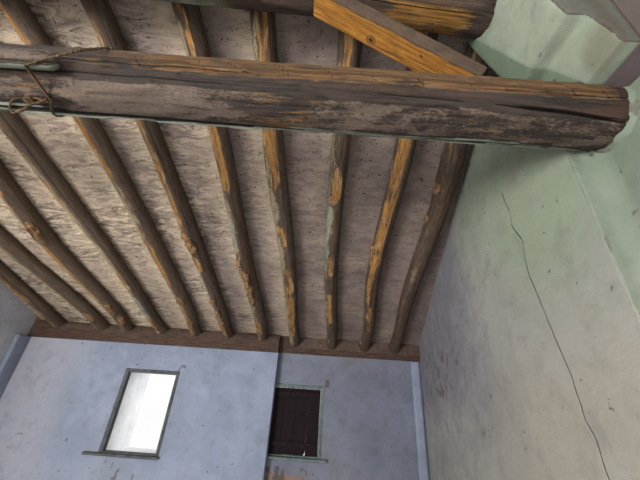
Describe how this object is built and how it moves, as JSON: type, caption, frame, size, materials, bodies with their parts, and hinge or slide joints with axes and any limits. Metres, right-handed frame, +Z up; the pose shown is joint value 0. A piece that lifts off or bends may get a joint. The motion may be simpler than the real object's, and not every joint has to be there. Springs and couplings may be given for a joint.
{
  "type": "log roof slope with adobe walls",
  "caption": "Room end of an adobe house: a log rafter roof slope with its beams, on the eave wall with two windows and two gable walls, open at the ridge.",
  "frame": {"origin": "centre of the bounding box at ground level", "axes": "+Z up, +Y from the open ridge side to the eave wall, +X along the ridge to the right seen from inside"},
  "size_m": [5.6, 4.3, 3.6485],
  "materials": {
    "adobe": "rough earth plaster",
    "lime_plaster": "worn limewash",
    "ceiling_plaster": "whitewashed mud on reeds",
    "mud_fill": "rough mud",
    "rafter_wood": "peeled log, worn whitewash",
    "beam_wood": "weathered, hewn",
    "sawn_wood": "sawn, aged",
    "plate_wood": "rough, aged",
    "frame_paint": "worn matt paint",
    "shutter_wood": "worn matt paint",
    "clay_tile": "fired clay, lichen"
  },
  "bodies": {
    "root": {"far_wall_left": "adobe", "far_wall_right": "adobe", "inner_leaf": "lime_plaster", "left_wall": "adobe", "right_wall": "adobe", "ridge_haunch": "lime_plaster", "gable_pilaster": "lime_plaster", "corner_strip_left": "lime_plaster", "corner_strip_right": "lime_plaster", "wall_plate_left": "plate_wood", "wall_plate_right": "plate_wood", "wall_top_fill": "mud_fill", "rafter_01": "rafter_wood", "rafter_02": "rafter_wood", "rafter_03": "rafter_wood", "rafter_04": "rafter_wood", "rafter_05": "rafter_wood", "rafter_06": "rafter_wood", "rafter_07": "rafter_wood", "rafter_08": "rafter_wood", "rafter_09": "rafter_wood", "rafter_10": "rafter_wood", "rafter_11": "rafter_wood", "main_beam": "beam_wood", "ridge_beam": "beam_wood", "brace": "sawn_wood", "lashed_pole": "beam_wood", "ceiling_mat": "ceiling_plaster", "roof_earth": "mud_fill", "roof_tiles": "clay_tile", "window_frame_left": "frame_paint", "window_sill_left": "frame_paint", "window_lintel_left": "plate_wood", "window_frame_right": "frame_paint", "window_sill_right": "frame_paint", "window_lintel_right": "plate_wood", "shutter": "shutter_wood"}
  },
  "joints": []
}
